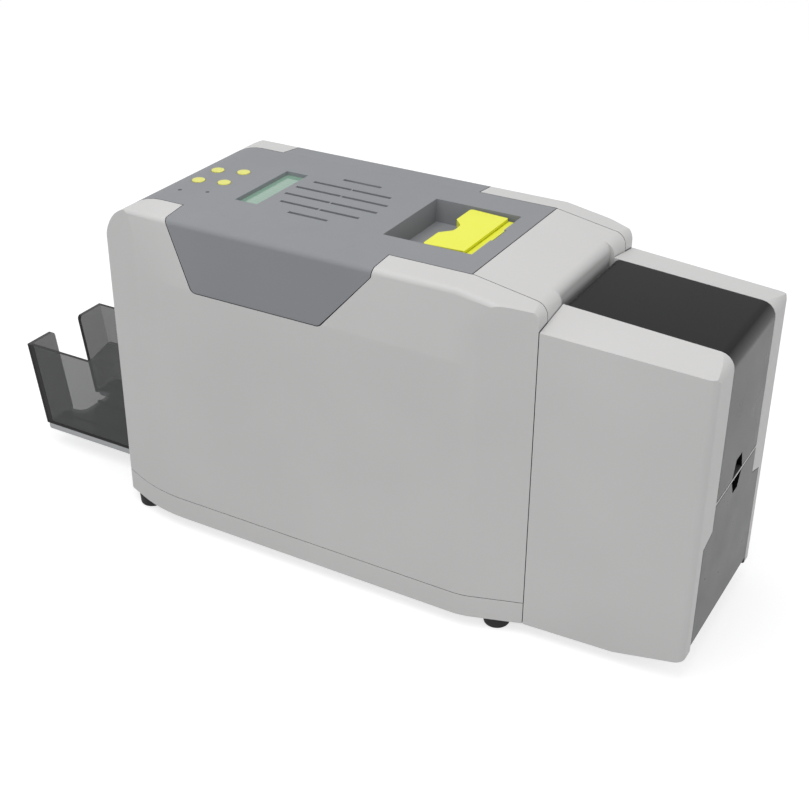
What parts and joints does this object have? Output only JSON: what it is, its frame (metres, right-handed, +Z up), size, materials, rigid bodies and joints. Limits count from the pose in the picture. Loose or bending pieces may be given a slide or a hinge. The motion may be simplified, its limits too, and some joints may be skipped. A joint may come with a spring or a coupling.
{
  "type": "card printer",
  "caption": "Desktop plastic-card printer: light grey body with hinged grey top cover, yellow latch and keys, rear card hopper with dark cover and door, smoked output tray.",
  "frame": {"origin": "middle of the bounding box's underside, on the table between the feet", "axes": "+Z up, +X along the body towards the card hopper, +Y towards the side with the sockets"},
  "size_m": [0.506, 0.1564, 0.2236],
  "materials": {
    "shell": "fine-grained light grey plastic",
    "cover": "fine-grained mid grey plastic",
    "smoked": "smoked, slightly see-through plastic",
    "dark": "dark grey plastic",
    "white": "white plastic",
    "yellow": "bright yellow plastic",
    "steel": "zinc-plated sheet and turned steel",
    "bush": "sintered bronze",
    "rubber": "soft black rubber",
    "roller_grey": "grey rubber",
    "tacky": "tacky blue rubber",
    "board": "green circuit board",
    "display": "green-grey display window",
    "film": "dye film",
    "head": "anodised aluminium and ceramic"
  },
  "bodies": {
    "chassis": {"base_pan": "shell", "rubber_feet": "rubber", "case_screws": "steel", "right_side_cover": "shell", "left_side_cover": "shell", "front_panel": "shell", "rear_deck": "shell", "right_side_plate": "steel", "left_side_plate": "steel", "tie_rods": "steel", "card_guides": "dark", "shaft_bushes": "bush", "main_board": "board", "power_supply": "steel", "main_motor": "steel", "ribbon_motor": "steel", "path_belt": "rubber", "pick_belt": "rubber", "motor_belt": "rubber", "ribbon_cartridge": "white", "ribbon_film": "film", "output_tray": "smoked", "tray_base": "cover", "feeder_housing": "shell", "hopper_liner": "dark", "io_plate": "dark", "power_inlet": "dark", "usb_socket": "steel"},
    "cover": {"top_cover": "cover", "lcd_window": "display", "lcd_module": "board", "control_board": "board", "status_lights": "dark", "fan_frame": "dark", "head_bracket": "steel", "print_head": "head", "cover_pins": "steel"},
    "feed": {"feed_shaft": "steel", "feed_tyres": "rubber"},
    "platen": {"platen_shaft": "steel", "platen_tyre": "rubber"},
    "takeup": {"takeup_spool": "film", "takeup_drive": "white"},
    "cover_latch": {"cover_latch": "yellow"},
    "button_front_right": {"button_front_right": "yellow"},
    "button_front_left": {"button_front_left": "yellow"},
    "button_back_right": {"button_back_right": "yellow"},
    "button_back_left": {"button_back_left": "yellow"},
    "fan_rotor": {"fan_rotor": "dark"},
    "motor_pulley": {"motor_pulley": "white"},
    "pick_roller": {"pick_roller": "rubber"},
    "exit_roller": {"exit_roller": "rubber"},
    "pinch_in_roller": {"pinch_in_roller": "roller_grey"},
    "pinch_out_roller": {"pinch_out_roller": "roller_grey"},
    "cleaning_roller": {"cleaning_roller": "tacky"},
    "supply_spool": {"supply_spool": "film"},
    "hopper_cover": {"hopper_cover": "smoked"},
    "card_weight": {"card_weight": "dark"},
    "service_door": {"service_door": "smoked"},
    "power_switch": {"power_switch": "dark"}
  },
  "joints": [
    {"name": "cover_hinge", "type": "hinge", "parent": "chassis", "child": "cover", "pos_m": [-0.12415, 0, 0.21407], "axis": [0, -1, 0], "range_deg": [0, 70]},
    {"name": "latch_pivot", "type": "hinge", "parent": "cover", "child": "cover_latch", "pos_m": [0.0907, 0, 0.214], "axis": [0, 1, 0], "range_deg": [0, 20], "stiffness_Nm_per_rad": 0.05, "springref_deg": -8.59},
    {"name": "fan_spin", "type": "hinge", "parent": "cover", "child": "fan_rotor", "pos_m": [-0.0147, 0, 0.213], "axis": [0, 0, 1], "continuous": true},
    {"name": "feed_spin", "type": "hinge", "parent": "chassis", "child": "feed", "pos_m": [0.116, 0, 0.0995], "axis": [0, 1, 0], "continuous": true},
    {"name": "motor_spin", "type": "hinge", "parent": "chassis", "child": "motor_pulley", "pos_m": [0.089, 0, 0.075], "axis": [0, 1, 0], "continuous": true},
    {"name": "platen_spin", "type": "hinge", "parent": "chassis", "child": "platen", "pos_m": [0.004, 0, 0.0995], "axis": [0, 1, 0], "continuous": true},
    {"name": "exit_spin", "type": "hinge", "parent": "chassis", "child": "exit_roller", "pos_m": [-0.11, 0, 0.0995], "axis": [0, 1, 0], "continuous": true},
    {"name": "pick_spin", "type": "hinge", "parent": "chassis", "child": "pick_roller", "pos_m": [0.184, 0, 0.0995], "axis": [0, 1, 0], "continuous": true},
    {"name": "pinch_in_spin", "type": "hinge", "parent": "chassis", "child": "pinch_in_roller", "pos_m": [0.116, 0, 0.1124], "axis": [0, 1, 0], "continuous": true},
    {"name": "pinch_out_spin", "type": "hinge", "parent": "chassis", "child": "pinch_out_roller", "pos_m": [-0.11, 0, 0.1124], "axis": [0, 1, 0], "continuous": true},
    {"name": "cleaning_spin", "type": "hinge", "parent": "chassis", "child": "cleaning_roller", "pos_m": [0.094, 0, 0.1134], "axis": [0, 1, 0], "continuous": true},
    {"name": "takeup_spin", "type": "hinge", "parent": "chassis", "child": "takeup", "pos_m": [-0.046, 0, 0.15], "axis": [0, 1, 0], "continuous": true},
    {"name": "supply_spin", "type": "hinge", "parent": "chassis", "child": "supply_spool", "pos_m": [0.059, 0, 0.15], "axis": [0, 1, 0], "continuous": true},
    {"name": "hopper_hinge", "type": "hinge", "parent": "chassis", "child": "hopper_cover", "pos_m": [0.1588, 0, 0.2038], "axis": [0, -1, 0], "range_deg": [0, 95]},
    {"name": "weight_slide", "type": "slide", "parent": "chassis", "child": "card_weight", "axis": [0, 0, 1], "range_m": [0, 0.066]},
    {"name": "door_hinge", "type": "hinge", "parent": "chassis", "child": "service_door", "pos_m": [0.2517, 0, 0.0203], "axis": [0, 1, 0], "range_deg": [0, 80]},
    {"name": "switch_rocker", "type": "hinge", "parent": "chassis", "child": "power_switch", "pos_m": [0.084, 0.0729, 0.058], "axis": [-1, 0, 0], "range_deg": [0, 16]},
    {"name": "press_front_right", "type": "slide", "parent": "cover", "child": "button_front_right", "axis": [0, 0, -1], "range_m": [0, 0.0012], "stiffness_N_per_m": 300, "springref_m": -0.0008},
    {"name": "press_front_left", "type": "slide", "parent": "cover", "child": "button_front_left", "axis": [0, 0, -1], "range_m": [0, 0.0012], "stiffness_N_per_m": 300, "springref_m": -0.0008},
    {"name": "press_back_right", "type": "slide", "parent": "cover", "child": "button_back_right", "axis": [0, 0, -1], "range_m": [0, 0.0012], "stiffness_N_per_m": 300, "springref_m": -0.0008},
    {"name": "press_back_left", "type": "slide", "parent": "cover", "child": "button_back_left", "axis": [0, 0, -1], "range_m": [0, 0.0012], "stiffness_N_per_m": 300, "springref_m": -0.0008}
  ],
  "couplings": [
    {"joint": "motor_spin", "follows": "feed_spin", "ratio": 1.6667},
    {"joint": "platen_spin", "follows": "feed_spin", "ratio": 1},
    {"joint": "exit_spin", "follows": "feed_spin", "ratio": 1},
    {"joint": "pick_spin", "follows": "feed_spin", "ratio": 1},
    {"joint": "takeup_spin", "follows": "supply_spin", "ratio": 1.5833}
  ]
}
